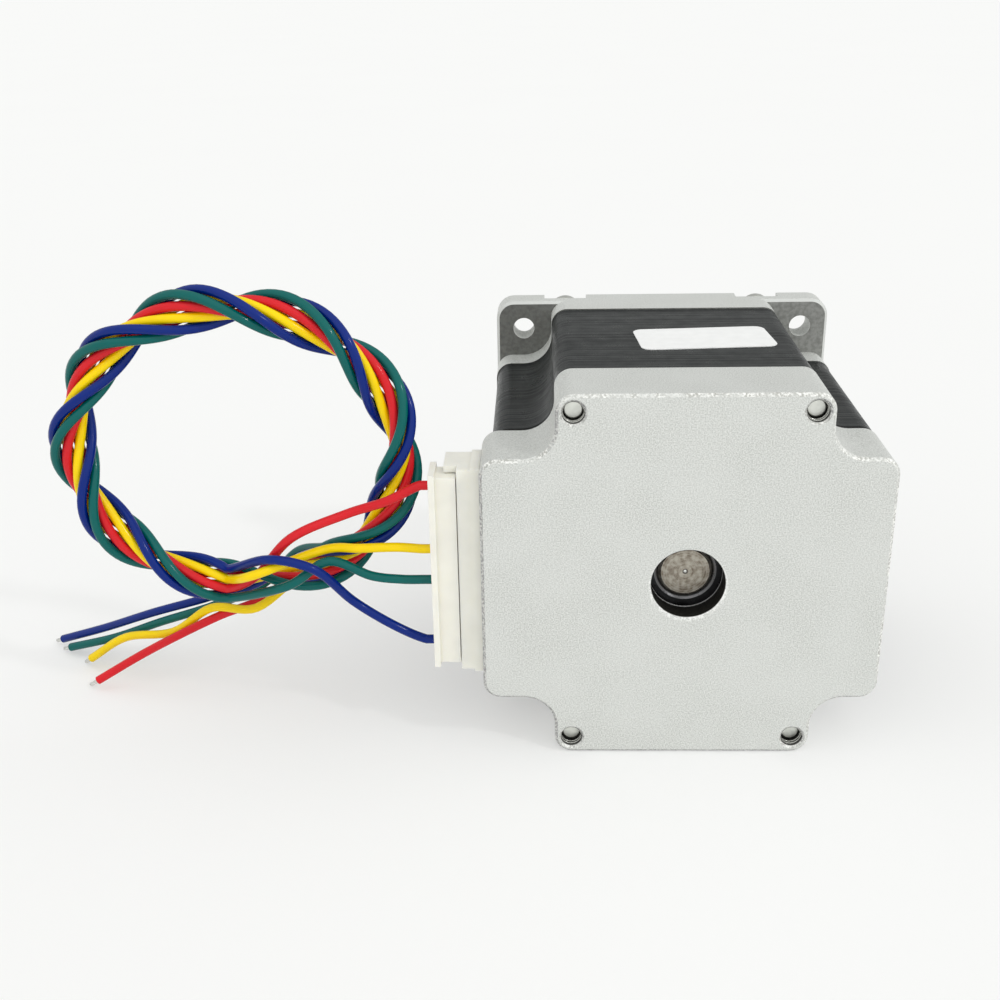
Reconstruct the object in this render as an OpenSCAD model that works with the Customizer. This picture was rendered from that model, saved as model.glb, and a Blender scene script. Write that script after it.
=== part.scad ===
// Square-frame hybrid stepping motor, lying on one flat side.
// The shaft points along +Y and the rear end cap faces -Y. The origin is the
// centre of the front mounting face, on the shaft axis. Lengths in millimetres.

/* [Frame] */
// Width of the two end castings, across the flange and across the cap's arms
flange_w = 56.4; // [54:0.1:60]
// Length of the front end casting, from the mounting face to the laminations
flange_len = 10; // [9:0.1:14]
// Length of the lamination stack
stack_len = 33.8; // [24:0.1:60]
// How far the laminations lie below the sides of the castings
stack_inset = 0.2; // [0:0.05:0.6]
// Length of the rear end cap
cap_len = 12.2; // [11.6:0.1:16]
// How far the cap stands proud on the connector side
cap_pad = 1.2; // [0.4:0.1:1.6]
// Radius of the four corner notches, round the mounting hole axes
notch_r = 4.7; // [4:0.1:5.6]
// Outer corner radius of the arms
arm_corner_r = 2.6; // [1.4:0.1:3.4]
// Chamfer of the castings' rear edges
edge_c = 0.45; // [0.2:0.05:0.8]

/* [Mounting flange] */
// Thickness of the four ears
ear_t = 4.8; // [3.6:0.1:6]
// Corner radius of the ears
ear_corner_r = 3; // [1.5:0.1:4]
// Distance of the mounting hole axes from the sides of the flange
hole_inset = 4.63; // [4.2:0.01:5]
// Diameter of the mounting holes
hole_d = 3.6; // [3.4:0.1:5.2]
// Diameter of the centring pilot
pilot_d = 38.1; // [34:0.05:40]
// Height of the centring pilot
pilot_h = 1.6; // [1:0.1:2.4]

/* [Assembly screws] */
// Distance from a mounting hole axis to the next screw axis, along the side
screw_step_in = 7.17; // [6.8:0.01:8.6]
// Distance of the screw axes from the side
screw_inset = 2.6; // [2.4:0.05:3.2]
// Shank diameter of the assembly screws
screw_d = 3; // [2.5:0.1:3.1]
// Head diameter of the assembly screws
screw_head_d = 5.4; // [4.8:0.1:5.8]
// Height of the pan heads
screw_head_h = 1.7; // [1.2:0.1:2]
// Width of the head recesses, which are open to the edge
recess_w = 7.2; // [6.6:0.1:8]
// Depth of the head recesses
recess_depth = 2.5; // [2.1:0.1:3]
// How far the screw tips end below the rear face
tip_recess = 1.8; // [0.8:0.1:4]

/* [Shaft and bearings] */
// Shaft diameter in the bearings
shaft_d = 8; // [6.6:0.1:8.2]
// Diameter of the output end of the shaft
output_d = 6.35; // [5:0.05:6.35]
// Length of the shaft in front of the mounting face
shaft_out = 20.6; // [15:0.1:30]
// Distance from the mounting face to the step between the two diameters
shoulder_y = 2; // [1:0.1:3]
// Chamfer of the shaft ends
shaft_chamfer = 0.5; // [0.2:0.1:0.8]
// Outer diameter of the ball bearings
bearing_d = 22; // [21:0.1:24]
// Width of the ball bearings
bearing_w = 7; // [6:0.1:7.4]
// Ball diameter
ball_d = 3.97; // [3:0.01:4.2]
// Number of balls in a bearing
ball_count = 7; // [5:1:7]
// Distance from the mounting face down to the front bearing
front_bearing_y = 1.5; // [1.2:0.1:2.4]
// Thickness of the cap's end wall
cap_wall = 3.4; // [2.4:0.1:3.8]
// Diameter of the hole in the rear end wall
rear_bore_d = 10.5; // [9.4:0.1:12]
// Diameter of the hole in the front wall
front_bore_d = 12; // [10:0.1:14]

/* [Stator and rotor] */
// Depth of the laminations from the side down to the bore
stator_wall = 8.95; // [8.6:0.05:9.8]
// Radial air gap
air_gap = 0.1; // [0.05:0.01:0.2]
// Depth of the teeth
tooth_depth = 0.9; // [0.5:0.05:1]
// Number of rotor teeth
rotor_teeth = 50; // [50:1:50]
// Number of teeth on each stator pole
pole_teeth = 6; // [4:1:6]
// Width of a stator pole body
pole_w = 5.6; // [4.6:0.1:6]
// Thickness of the rotor magnet
magnet_t = 3; // [2:0.1:5]
// Depth of the rotor cups' rims round the magnet
cup_rim = 5.45; // [4:0.05:8]

/* [Connector] */
// Pitch of the connector's contacts
pin_pitch = 5; // [4.8:0.01:5.08]
// Side of the square header pins
pin_w = 1; // [0.6:0.05:1.1]
// Height of the connector's middle above the shaft axis
connector_z = 0.3; // [0:0.1:0.8]
// Depth of the header's shroud along the shaft
shroud_depth = 7.5; // [7.2:0.1:8.4]
// How far the shroud stands out from the cap
shroud_out = 5.2; // [4.4:0.1:7]
// How far the shroud's low rear wall stands out from the cap
low_wall_out = 3.3; // [2.8:0.1:4]
// How far the plug stands out from the shroud
plug_out = 2.1; // [1.9:0.1:5]
// Wall of the shroud
shroud_wall = 1; // [0.8:0.05:1.3]

/* [Leads] */
// Outer diameter of a lead
wire_d = 1.4; // [1:0.05:1.5]
// Diameter of a stripped conductor
conductor_d = 0.7; // [0.4:0.05:0.9]
// Length of a stripped conductor
strip_len = 1.5; // [1:0.1:4]
// Half width of the ring of leads
ring_rx = 24; // [22:0.5:26]
// Half height of the ring of leads
ring_rz = 21.4; // [20:0.2:24]
// Spacing of the four strands of one loop
strand_gap = 1.68; // [1.6:0.01:1.8]
// Spacing of the ring's two loops
layer_gap = 1.86; // [1.7:0.01:2]

/* [Label] */
// Length of the rating label
label_w = 20.6; // [16:0.1:26]
// Width of the rating label
label_h = 11.3; // [6:0.1:14]
// Thickness of the rating label
label_t = 0.12; // [0.08:0.01:0.2]

/* [Hidden] */

$fn = 96;
// One overrun for all cuts
cut = 0.5;
// Clearance of pieces that are pressed, glued or dropped into a seat
seat_gap = 0.02;
// Clearance of pieces that are slid over one another
slide_gap = 0.15;
// Radial clearance of the assembly screws in their holes
screw_gap = 0.2;

// Planes along the shaft
stack_front = -flange_len;
stack_rear = stack_front - stack_len;
rear_face = stack_rear - cap_len;
front_bearing_face = -front_bearing_y;
cap_floor = rear_face + cap_wall;
washer_space = 0.6;
rear_bearing_face = cap_floor + washer_space + bearing_w;

// Outline of the frame
cap_w = flange_w;
stack_w = flange_w - 2 * stack_inset;
hole_at = flange_w / 2 - hole_inset;
hole_pitch = 2 * hole_at;
screw_x = hole_at - screw_step_in;
screw_z = flange_w / 2 - screw_inset;

// Hollows of the end castings
frame_wall = 2.8;
cavity_r = cap_w / 2 - frame_wall;
boss_wall = 2.4;
boss_r = bearing_d / 2 + boss_wall;
flange_floor = 5.2;
countersink = 0.35;
thread_gap = 0.05;
screw_point = 0.2;
screw_slot_w = 0.6;
screw_slot_depth = 0.9;
centre_hole_r = 0.3;

// Bearings
race_clear = 0.04;
ring_wall = 2.05;
inner_ring_d = shaft_d + 2 * ring_wall;
outer_ring_in_d = bearing_d - 2 * ring_wall;
ball_pitch_r = (bearing_d + shaft_d) / 4;
ring_chamfer = 0.4;
race_chamfer = 0.15;
cage_t = 4.9;
cage_wall = 1.3;
pocket_gap = 0.1;
shield_t = 0.3;
shield_gap = 0.25;

// Stator
stator_in_r = stack_w / 2 - stator_wall;
tooth_angle = 360 / rotor_teeth;
tooth_share = 0.42;
pole_count = 8;
pole_root_r = stator_in_r + tooth_depth;
shoe_t = 1.3;
shoe_r = pole_root_r + shoe_t;
yoke_r = stack_w / 2 - frame_wall;
slot_steps = 6;
bobbin_t = 0.8;
bobbin_wall = 0.5;
bobbin_side = 0.35;
bobbin_reach = 4.6;
coil_side = 2.8;
coil_gap = 0.05;
coil_corner_r = 1.2;
coil_in_x = shoe_r + bobbin_side;
coil_in_w = pole_w + 2 * bobbin_side + 2 * coil_gap;
coil_w = coil_in_w + 2 * coil_side;
rim_r = cavity_r - slide_gap;
coil_r = rim_r - bobbin_wall - 2 * coil_gap;
coil_out_x = sqrt(coil_r * coil_r - coil_w * coil_w / 4);
coil_t = coil_out_x - coil_in_x;

// Rotor
rotor_d = 2 * stator_in_r - 2 * air_gap;
magnet_d = rotor_d - 2 * cup_rim;
rotor_end_gap = 1;
cup_gap = 1.6;
cup_len = (stack_len - 2 * rotor_end_gap - cup_gap) / 2;
magnet_seat = (magnet_t - cup_gap) / 2;

// Connector
connector_y = stack_rear - cap_len / 2;
pin_count = 6;
cap_side = -cap_w / 2 - cap_pad;
shroud_face = cap_side - shroud_out;
plug_face = shroud_face - plug_out;
shroud_ends = 1.8;
shroud_h = pin_count * pin_pitch + shroud_ends;
base_t = 1.4;
base_out = 0.25;
contact_inset = 3;
shroud_rear = connector_y - contact_inset;
shroud_front = shroud_rear + shroud_depth;
low_depth = 1.9;
neck_h = shroud_h - shroud_wall;
pocket_floor_t = 1;
insert_depth = shroud_depth - 2 * shroud_wall - 2 * slide_gap;
plug_depth = 4.6;
plug_h = shroud_h - 2 * shroud_wall - 2 * slide_gap;
plug_seat = cap_side - pocket_floor_t - slide_gap;
lip_t = 0.9;
lip_out = 0.55;
terminal_w = 2.2;
terminal_gap = 0.1;
cell_w = terminal_w + 2 * terminal_gap;
terminal_depth = 1.7;
terminal_rear = plug_face + terminal_depth;
terminal_wall = 0.9;
wire_hole_d = wire_d + 2 * screw_gap;
pin_tip = terminal_rear + terminal_wall;
board_t = 1.2;
board_gap = 0.5;
board_y = cap_floor + board_gap + board_t;
board_r = cavity_r - board_gap;
board_hole_d = 1.5;
board_rim = 1;
pin_inset = 1.4;
row_end_z = connector_z + (pin_count - 1) / 2 * pin_pitch;
pin_bend_x = -sqrt((board_r - board_rim) * (board_r - board_rim) - row_end_z * row_end_z);
board_edge_x = pin_bend_x - pin_inset;
used_places = [0, 2, 3, 5];

// Wave washer
washer_t = 0.3;
washer_width = 2.25;
washer_wave = 0.12;
washer_waves = 3;
washer_steps = 36;

// Label, turned a little on the top face
label_at = [4.3, -28];
label_turn = 4.2;
label_corner_r = 1.6;

// Ring of leads
ring_at = [-65.1, -45.6, 16.7];
strand_turns = 4.5;
ring_first = 8;
ring_last = 688;
ring_step = 8.5;
wire_sides = 6;
curve_steps = 3;

function place_z(i) = connector_z + (pin_count / 2 - 0.5 - i) * pin_pitch;

// Point at angle t of the strand that starts at place a, counted outwards from the middle.
// t = 0 is at the bottom. The strands turn about the ring's centre line by a whole number and
// a half of turns a loop, so the second loop falls into the places behind the first.
function ring_point(a, t) =
    let (turn = strand_turns * (t - ring_first))
    let (s = sin(t))
    let (c = cos(t))
    let (n = norm([s / ring_rx, c / ring_rz]))
    let (out = [-s / ring_rx / n, 0, -c / ring_rz / n])
    let (front = [0, -1, 0])
    let (p = strand_gap * a)
    let (q = layer_gap / 2)
    ring_at + [-ring_rx * s, 0, -ring_rz * c]
    + (p * cos(turn) - q * sin(turn)) * out + (p * sin(turn) + q * cos(turn)) * front;

function curve(p0, p1, p2, p3, u) =
    0.5 * ((2 * p1) + (p2 - p0) * u + (2 * p0 - 5 * p1 + 4 * p2 - p3) * u * u
    + (3 * p1 - p0 - 3 * p2 + p3) * u * u * u);

// Smooth curve through hand-chosen points; first and last points only steer
function smooth(p) = [for (i = [1 : len(p) - 3]) for (k = [0 : curve_steps - 1])
    curve(p[i - 1], p[i], p[i + 1], p[i + 2], k / curve_steps)];

function ring_loop(a) = [for (t = [ring_first : ring_step : ring_last]) ring_point(a, t)];

function lead_path(i, a, lead, tail) =
    let (exit = [plug_face - wire_d, connector_y, place_z(i)])
    let (start = [[terminal_rear, connector_y, place_z(i)], exit])
    let (loops = ring_loop(a))
    let (m = len(loops))
    let (tip = tail[len(tail) - 1])
    let (past = 2 * tip - tail[len(tail) - 2])
    let (free_end = smooth(concat([loops[m - 2], loops[m - 1]], tail, [past])))
    concat([start[0]], smooth(concat(start, lead, [loops[0], loops[1]])), loops,
        [for (k = [1 : len(free_end) - 1]) free_end[k]], [tip]);

// Routes from the plug to the ring, and from the ring to the free ends on the table
red_lead = [[-43, -50, 10.4], [-49.2, -49.1, 8], [-57.2, -50.9, 5], [-63.3, -48.9, -2.1]];
yellow_lead = [[-41.9, -50, 3.1], [-47.3, -49.9, 2.9], [-52.9, -48.9, 2.2], [-62.8, -52.2, -0.3]];
green_lead = [[-41.5, -50, -2.1], [-46, -49.6, -1.7], [-52.1, -50.1, 0.9], [-58, -52.2, -2.1]];
blue_lead = [[-43, -50.4, -9.5], [-48.8, -50, -5.7], [-53.6, -52.7, 0.7], [-60.4, -52, 2.1]];
red_tail = [[-58.3, -40.2, -3.8], [-64.4, -37.8, -11], [-72.5, -37.9, -14.5], [-79.6, -38.1, -18],
    [-86.8, -37, -22.4], [-94.2, -37.5, -26.8]];
yellow_tail = [[-57.7, -41.1, -5.1], [-65.7, -40.8, -11.6], [-73.8, -37.8, -13.2], [-81.2, -35.7, -18.7],
    [-90.3, -32.6, -21.4], [-97.7, -30.2, -26.8]];
green_tail = [[-58.9, -39.4, -2.5], [-65, -37.2, -9.1], [-73.7, -35.6, -13.8], [-84, -32.3, -18.6],
    [-93.3, -29.1, -23.3], [-102.7, -26, -27]];
blue_tail = [[-60.1, -42.5, -6], [-65.3, -38.1, -7.4], [-74.1, -34.6, -12.6], [-85.5, -31.3, -17.4],
    [-95.6, -26.9, -22.6], [-105, -23.2, -26.9]];

red_path = lead_path(used_places[0], 0.5, red_lead, red_tail);
yellow_path = lead_path(used_places[1], -0.5, yellow_lead, yellow_tail);
green_path = lead_path(used_places[2], 1.5, green_lead, green_tail);
blue_path = lead_path(used_places[3], -1.5, blue_lead, blue_tail);

function path_len(p, i = 1) = i == len(p) ? 0 : norm(p[i] - p[i - 1]) + path_len(p, i + 1);

// Least gap between points of a lead that are more than a few rings apart along it
apart = 6;
function self_gap(p) = min([for (i = [0 : len(p) - 1 - apart]) for (j = [i + apart : len(p) - 1])
    norm(p[i] - p[j])]) - wire_d;
union() {
    echo(lengths = [path_len(red_path), path_len(yellow_path), path_len(green_path), path_len(blue_path)]);
    echo(least_gap_of_a_lead_to_itself =
        [self_gap(red_path), self_gap(yellow_path), self_gap(green_path), self_gap(blue_path)]);
    echo(red_path = red_path);
    echo(yellow_path = yellow_path);
    echo(green_path = green_path);
    echo(blue_path = blue_path);
}

module along_y(front, length) {
    translate([0, front, 0]) rotate([90, 0, 0]) linear_extrude(length) children();
}

module rod_y(front, length, r) {
    translate([0, front, 0]) rotate([90, 0, 0]) cylinder(h = length, r = r);
}

module ring_y(front, length, outer_r, inner_r) {
    difference() {
        rod_y(front, length, outer_r);
        rod_y(front + cut, length + 2 * cut, inner_r);
    }
}

module corners(x, z) {
    for (sx = [-1, 1]) for (sz = [-1, 1]) translate([sx * x, 0, sz * z]) children();
}

module round_rect(w, h, r) {
    square([w - 2 * r, h], center = true);
    square([w, h - 2 * r], center = true);
    for (sx = [-1, 1]) for (sz = [-1, 1]) translate([sx * (w / 2 - r), sz * (h / 2 - r)]) circle(r);
}

// Cross-shaped outline with a round notch about each mounting hole axis
module frame_outline(w, left = 0) {
    arm = hole_at - notch_r;
    translate([-left / 2, 0]) round_rect(w + left, 2 * arm, arm_corner_r);
    round_rect(2 * arm, w, arm_corner_r);
    difference() {
        square(hole_pitch, center = true);
        for (sx = [-1, 1]) for (sz = [-1, 1]) translate([sx * hole_at, sz * hole_at]) circle(notch_r);
    }
}

// Last layer of a rounded plate, where its rim slopes in by c over its own height c
module chamfer_layer(w, h, r, c) {
    for (sx = [-1, 1]) for (sz = [-1, 1]) translate([sx * (w / 2 - r), sz * (h / 2 - r), 0])
        cylinder(h = c, r1 = r, r2 = r - c);
    translate([0, h / 2 - r, 0]) rotate([90, 0, 0]) linear_extrude(h - 2 * r)
        polygon([[-w / 2, 0], [w / 2, 0], [w / 2 - c, c], [-w / 2 + c, c]]);
    translate([r - w / 2, 0, 0]) rotate([90, 0, 90]) linear_extrude(w - 2 * r)
        polygon([[-h / 2, 0], [h / 2, 0], [h / 2 - c, c], [-h / 2 + c, c]]);
}

module chamfered_plate(front, length, w, r) {
    along_y(front, length - edge_c) round_rect(w, w, r);
    translate([0, front - length + edge_c, 0]) rotate([90, 0, 0]) chamfer_layer(w, w, r, edge_c);
}

// A cross-shaped casting with a chamfer all round its rear face
module chamfered_casting(front, length, w, left) {
    arm = hole_at - notch_r;
    along_y(front, length - edge_c) frame_outline(w, left);
    translate([0, front - length + edge_c, 0]) rotate([90, 0, 0]) {
        translate([-left / 2, 0, 0]) chamfer_layer(w + left, 2 * arm, arm_corner_r, edge_c);
        chamfer_layer(2 * arm, w, arm_corner_r, edge_c);
        difference() {
            translate([-hole_at, -hole_at, 0]) cube([hole_pitch, hole_pitch, edge_c]);
            for (sx = [-1, 1]) for (sz = [-1, 1]) translate([sx * hole_at, sz * hole_at, -edge_c])
                cylinder(h = 3 * edge_c, r1 = notch_r - edge_c, r2 = notch_r + 2 * edge_c);
        }
    }
}

module front_flange() {
    color("gainsboro") difference() {
        union() {
            chamfered_plate(0, ear_t, flange_w, ear_corner_r);
            along_y(-ear_t / 2, flange_len - ear_t / 2) frame_outline(flange_w);
            rod_y(pilot_h, pilot_h + ear_t / 2, pilot_d / 2);
        }
        difference() {
            rod_y(-flange_floor, flange_len, cavity_r);
            rod_y(0, front_bearing_y + bearing_w, boss_r);
        }
        rod_y(front_bearing_face, flange_len, bearing_d / 2 + seat_gap);
        rod_y(pilot_h + cut, flange_len, front_bore_d / 2);
        corners(hole_at, hole_at) rod_y(cut, flange_len, hole_d / 2);
        corners(screw_x, screw_z) rod_y(cut, flange_len + 2 * cut, screw_d / 2 + screw_gap);
        for (sx = [-1, 1]) for (sz = [-1, 1]) translate([sx * screw_x, 0, sz * screw_z]) {
            rod_y(cut, recess_depth + cut, recess_w / 2);
            translate([-recess_w / 2, -recess_depth, sz > 0 ? 0 : -recess_w])
                cube([recess_w, recess_depth + cut, recess_w]);
        }
    }
}

module rear_cap() {
    thread_r = screw_d / 2 + thread_gap;
    mouth_h = neck_h + 2 * slide_gap;
    color("gainsboro") difference() {
        chamfered_casting(stack_rear, cap_len, cap_w, cap_pad);
        difference() {
            rod_y(stack_rear + cut, cap_len - cap_wall + cut, cavity_r);
            rod_y(rear_bearing_face, cap_len, boss_r);
        }
        rod_y(rear_bearing_face + cut, rear_bearing_face + cut - cap_floor, bearing_d / 2 + seat_gap);
        rod_y(cap_floor + cut, cap_wall + 2 * cut, rear_bore_d / 2);
        corners(screw_x, screw_z) rod_y(stack_rear + cut, cap_len + 2 * cut, thread_r);
        corners(screw_x, screw_z) translate([0, rear_face - countersink, 0]) rotate([-90, 0, 0])
            cylinder(h = 2 * countersink, r1 = thread_r + 2 * countersink, r2 = thread_r);
        translate([cap_side - cut, cap_floor, connector_z - mouth_h / 2])
            cube([cavity_r / 2, stack_rear + cut - cap_floor, mouth_h]);
    }
}

function polar(r, a) = [r * cos(a), r * sin(a)];

// Toothed face, shoe and body of the pole at angle turn, from its one root to the other
function pole_points(turn) =
    let (half = tooth_angle * tooth_share / 2)
    let (first = -(pole_teeth - 1) / 2 * tooth_angle)
    let (body_a = asin(pole_w / 2 / shoe_r))
    let (root_a = asin(pole_w / 2 / yoke_r))
    concat(
        [polar(yoke_r, turn - root_a), polar(shoe_r, turn - body_a),
            polar(shoe_r - shoe_t / 2, turn + first - half)],
        [for (k = [0 : pole_teeth - 1]) let (a = turn + first + k * tooth_angle)
            each [polar(pole_root_r, a - half), polar(stator_in_r, a - half),
                polar(stator_in_r, a + half), polar(pole_root_r, a + half)]],
        [polar(shoe_r - shoe_t / 2, turn - first + half), polar(shoe_r, turn + body_a),
            polar(yoke_r, turn + root_a)]);

// The space inside the laminations: the rotor's bore and the eight winding slots, as one outline
function stator_space() =
    let (root_a = asin(pole_w / 2 / yoke_r))
    let (slot_a = 360 / pole_count - 2 * root_a)
    [for (k = [0 : pole_count - 1]) let (turn = k * 360 / pole_count)
        each concat(pole_points(turn),
            [for (j = [1 : slot_steps - 1]) polar(yoke_r, turn + root_a + slot_a * j / slot_steps)])];

module stator_core() {
    color("dimgray") difference() {
        along_y(stack_front, stack_len) difference() {
            frame_outline(stack_w);
            polygon(stator_space());
        }
        corners(screw_x, screw_z) rod_y(stack_front + cut, stack_len + 2 * cut, screw_d / 2 + screw_gap);
    }
}

// Nylon end frame of the windings: arms over the poles, walls that hold the coils, and a rim.
// Its face lies at y = face, and it stands away from the stack in direction +1 or -1.
module bobbin(face, direction) {
    arm_from = pole_root_r + bobbin_side;
    wall_w = pole_w + coil_side;
    front = direction > 0 ? face + bobbin_reach : face;
    arm_at = direction > 0 ? face : face - bobbin_t;
    color("ivory") {
        for (k = [0 : pole_count - 1]) rotate([0, k * 360 / pole_count, 0]) {
            translate([arm_from, arm_at, -pole_w / 2 - bobbin_side])
                cube([rim_r - bobbin_wall / 2 - arm_from, bobbin_t, pole_w + 2 * bobbin_side]);
            translate([arm_from, front - bobbin_reach, -wall_w / 2])
                cube([shoe_t / 2, bobbin_reach, wall_w]);
        }
        ring_y(front, bobbin_reach, rim_r, rim_r - bobbin_wall);
    }
}

module front_bobbin() {
    bobbin(stack_front, 1);
}

module rear_bobbin() {
    bobbin(stack_rear, -1);
}

module stator_coils() {
    inner_l = stack_len + 2 * bobbin_t + 2 * coil_gap;
    color("peru") for (k = [0 : pole_count - 1]) rotate([0, k * 360 / pole_count, 0])
        translate([coil_in_x, stack_front - stack_len / 2, 0]) rotate([90, 0, 90]) linear_extrude(coil_t)
            difference() {
                round_rect(inner_l + 2 * coil_side, coil_w, coil_corner_r);
                square([inner_l, coil_in_w], center = true);
            }
}

module connection_board() {
    color("darkgreen") difference() {
        ring_y(board_y, board_t, board_r, boss_r + cut);
        translate([-2 * board_r + board_edge_x, board_y - 2 * board_t, -board_r])
            cube([2 * board_r, 3 * board_t, 2 * board_r]);
        for (i = [0 : pin_count - 1]) translate([pin_bend_x, 0, place_z(i)])
            rod_y(board_y + cut, board_t + 2 * cut, board_hole_d / 2);
    }
}

// Box from x = from to x = to that starts at y = rear, with its middle at the connector's height
module connector_box(from, to, rear, depth, height) {
    translate([from, rear, connector_z - height / 2]) cube([to - from, depth, height]);
}

module header_housing() {
    base_depth = shroud_depth + 2 * base_out;
    pin_hole_w = pin_w + 2 * seat_gap;
    color("ivory") difference() {
        union() {
            connector_box(shroud_face, cap_side - seat_gap, shroud_rear + low_depth,
                shroud_depth - low_depth, shroud_h);
            connector_box(cap_side - low_wall_out, cap_side - seat_gap, shroud_rear, shroud_depth, shroud_h);
            connector_box(cap_side - base_t, cap_side - seat_gap, shroud_rear - base_out, base_depth,
                shroud_h + 2 * base_out);
            translate([cap_side - pocket_floor_t, cap_floor + slide_gap, connector_z - neck_h / 2])
                cube([pocket_floor_t - cap_side - cavity_r, shroud_front - cap_floor - slide_gap, neck_h]);
            translate([cap_side, shroud_front - cut, connector_z - neck_h / 2])
                cube([-cap_side - cavity_r, stack_rear - slide_gap - shroud_front + cut, neck_h]);
        }
        connector_box(shroud_face - cut, cap_side - pocket_floor_t, shroud_rear + shroud_wall,
            shroud_depth - 2 * shroud_wall, shroud_h - 2 * shroud_wall);
        for (i = [0 : pin_count - 1]) translate([shroud_face, connector_y, place_z(i)])
            translate([0, -pin_hole_w / 2, -pin_hole_w / 2]) cube([-shroud_face, pin_hole_w, pin_hole_w]);
    }
}

module header_pins() {
    tail = connector_y - cap_floor - 4 * seat_gap;
    color("silver") for (i = [0 : pin_count - 1]) translate([0, connector_y, place_z(i)]) {
        translate([pin_tip, -pin_w / 2, -pin_w / 2]) cube([pin_bend_x + pin_w / 2 - pin_tip, pin_w, pin_w]);
        translate([pin_bend_x - pin_w / 2, -tail, -pin_w / 2]) cube([pin_w, tail, pin_w]);
    }
}

module bearing_outer(face) {
    color("lightsteelblue") translate([0, face, 0]) rotate([90, 0, 0]) rotate_extrude() difference() {
        translate([outer_ring_in_d / 2, 0]) square([(bearing_d - outer_ring_in_d) / 2, bearing_w]);
        translate([ball_pitch_r, bearing_w / 2]) circle(ball_d / 2 + race_clear);
    }
}

module bearing_inner(face) {
    bore_r = shaft_d / 2 + seat_gap;
    mouth_r = shaft_d / 2 + ring_chamfer;
    race_r = inner_ring_d / 2;
    color("lightsteelblue") translate([0, face, 0]) rotate([90, 0, 0]) rotate_extrude() difference() {
        polygon([[bore_r, ring_chamfer], [mouth_r, 0], [race_r - race_chamfer, 0], [race_r, race_chamfer],
            [race_r, bearing_w - race_chamfer], [race_r - race_chamfer, bearing_w], [mouth_r, bearing_w],
            [bore_r, bearing_w - ring_chamfer]]);
        translate([ball_pitch_r, bearing_w / 2]) circle(ball_d / 2 + race_clear);
    }
}

module bearing_balls(face) {
    color("silver") for (k = [0 : ball_count - 1]) rotate([0, k * 360 / ball_count, 0])
        translate([ball_pitch_r, face - bearing_w / 2, 0]) sphere(d = ball_d);
}

module bearing_cage(face) {
    color("darkgoldenrod") difference() {
        ring_y(face - (bearing_w - cage_t) / 2, cage_t, ball_pitch_r + cage_wall / 2,
            ball_pitch_r - cage_wall / 2);
        for (k = [0 : ball_count - 1]) rotate([0, k * 360 / ball_count, 0])
            translate([ball_pitch_r - cage_wall, face - bearing_w / 2, 0]) rotate([0, 90, 0])
                cylinder(h = 2 * cage_wall, d = ball_d + 2 * pocket_gap);
    }
}

module bearing_shields(face) {
    shield_in = inner_ring_d / 2 + shield_gap;
    shield_out = outer_ring_in_d / 2 - seat_gap;
    color("silver") for (front = [face - shield_gap, face - bearing_w + shield_gap + shield_t])
        ring_y(front, shield_t, shield_out, shield_in);
}

module front_bearing_outer() {
    bearing_outer(front_bearing_face);
}

module rear_bearing_outer() {
    bearing_outer(rear_bearing_face);
}

module front_bearing_inner() {
    bearing_inner(front_bearing_face);
}

module rear_bearing_inner() {
    bearing_inner(rear_bearing_face);
}

module front_bearing_balls() {
    bearing_balls(front_bearing_face);
}

module rear_bearing_balls() {
    bearing_balls(rear_bearing_face);
}

module front_bearing_cage() {
    bearing_cage(front_bearing_face);
}

module rear_bearing_cage() {
    bearing_cage(rear_bearing_face);
}

module front_bearing_shields() {
    bearing_shields(front_bearing_face);
}

module rear_bearing_shields() {
    bearing_shields(rear_bearing_face);
}

// Spring washer with three waves, between the rear bearing and the cap's end wall
module wave_washer() {
    outer = bearing_d / 2 - slide_gap;
    inner = outer - washer_width;
    middle = cap_floor + washer_space / 2;
    profile = [[inner, -washer_t / 2], [outer, -washer_t / 2], [outer, washer_t / 2], [inner, washer_t / 2]];
    rim = [for (k = [0 : washer_steps - 1])
        let (a = k * 360 / washer_steps)
        let (y = middle + washer_wave * cos(washer_waves * a))
        for (p = profile) [p[0] * cos(a), y + p[1], p[0] * sin(a)]];
    faces = [for (k = [0 : washer_steps - 1])
        let (a = 4 * k)
        let (b = 4 * ((k + 1) % washer_steps))
        for (j = [0 : 3]) let (n = (j + 1) % 4) each [[a + j, b + j, b + n], [a + j, b + n, a + n]]];
    color("steelblue") polyhedron(points = rim, faces = faces);
}

// Pan-head screws with a cross recess; the castings' threads are left plain
module through_screws() {
    head_top = -recess_depth + screw_head_h;
    shank_len = -recess_depth - rear_face - tip_recess - screw_point;
    color("silver") corners(screw_x, screw_z) {
        difference() {
            rod_y(head_top, screw_head_h, screw_head_d / 2);
            for (turn = [0, 90]) rotate([0, turn, 0])
                translate([-screw_head_d / 4, head_top - screw_slot_depth, -screw_slot_w / 2])
                    cube([screw_head_d / 2, screw_slot_depth + cut, screw_slot_w]);
        }
        rod_y(-recess_depth, shank_len, screw_d / 2);
        translate([0, -recess_depth - shank_len, 0]) rotate([90, 0, 0])
            cylinder(h = screw_point, r1 = screw_d / 2, r2 = screw_d / 2 - screw_point);
    }
}

module rating_label() {
    color("white") translate([label_at[0], label_at[1], stack_w / 2 + seat_gap]) rotate(label_turn)
        linear_extrude(label_t) round_rect(label_w, label_h, label_corner_r);
}

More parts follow.
